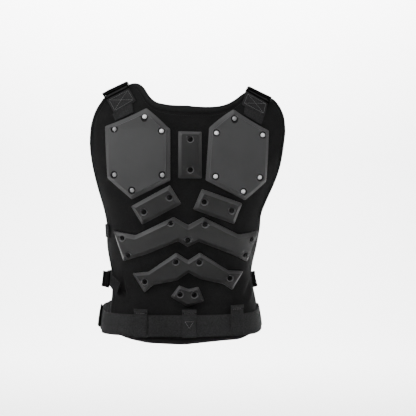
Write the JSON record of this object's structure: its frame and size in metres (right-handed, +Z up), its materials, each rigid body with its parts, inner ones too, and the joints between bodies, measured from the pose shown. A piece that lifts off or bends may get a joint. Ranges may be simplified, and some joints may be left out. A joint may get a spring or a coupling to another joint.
{
  "type": "tactical vest",
  "caption": "Black tactical vest with a padded back panel, bevelled armour plates held by screws, webbing shoulder straps with slides, side straps and a wide waist belt in loops.",
  "frame": {"origin": "midway between the shoulder straps at their underside, where the vest hangs on the wearer's shoulders", "axes": "+X towards the wearer's right, +Y the way the wearer faces, +Z up the back"},
  "size_m": [0.4427, 0.2715, 0.5853],
  "materials": {
    "cloth": "matte",
    "tape": "matte",
    "webbing": "matte",
    "plates": "satin",
    "buckles": "gloss",
    "rivets": "polished",
    "screws": "gloss"
  },
  "bodies": {
    "root": {"back_panel": "cloth", "front_panel": "cloth", "back_binding": "tape", "scapula_plate_left": "plates", "scapula_plate_left_screw_1": "rivets", "scapula_plate_left_screw_2": "rivets", "scapula_plate_left_screw_3": "rivets", "scapula_plate_left_screw_4": "rivets", "scapula_plate_left_screw_5": "rivets", "scapula_plate_left_screw_6": "rivets", "scapula_plate_right": "plates", "scapula_plate_right_screw_1": "rivets", "scapula_plate_right_screw_2": "rivets", "scapula_plate_right_screw_3": "rivets", "scapula_plate_right_screw_4": "rivets", "scapula_plate_right_screw_5": "rivets", "scapula_plate_right_screw_6": "rivets", "spine_plate": "plates", "spine_plate_screw_1": "screws", "spine_plate_screw_2": "screws", "rib_plate_left": "plates", "rib_plate_left_screw_1": "screws", "rib_plate_left_screw_2": "screws", "rib_plate_right": "plates", "rib_plate_right_screw_1": "screws", "rib_plate_right_screw_2": "screws", "upper_lumbar_plate": "plates", "upper_lumbar_plate_screw_1": "screws", "upper_lumbar_plate_screw_2": "screws", "upper_lumbar_plate_screw_3": "screws", "upper_lumbar_plate_screw_4": "screws", "upper_lumbar_plate_screw_5": "screws", "upper_lumbar_plate_screw_6": "screws", "upper_lumbar_plate_screw_7": "screws", "lower_lumbar_plate": "plates", "lower_lumbar_plate_screw_1": "screws", "lower_lumbar_plate_screw_2": "screws", "lower_lumbar_plate_screw_3": "screws", "lower_lumbar_plate_screw_4": "screws", "tail_plate": "plates", "tail_plate_screw_1": "screws", "tail_plate_screw_2": "screws", "shoulder_anchor_left": "webbing", "shoulder_buckle_left": "buckles", "shoulder_strap_left": "webbing", "shoulder_anchor_right": "webbing", "shoulder_buckle_right": "buckles", "shoulder_strap_right": "webbing", "side_strap_upper_left": "webbing", "side_strap_upper_right": "webbing", "side_strap_lower_left": "webbing", "side_strap_lower_right": "webbing", "side_buckle_lower_left": "buckles", "side_buckle_lower_right": "buckles", "waist_belt": "webbing", "belt_buckle_left": "buckles", "belt_buckle_right": "buckles", "belt_loop_left": "webbing", "belt_loop_centre": "webbing", "belt_loop_right": "webbing"}
  },
  "joints": []
}
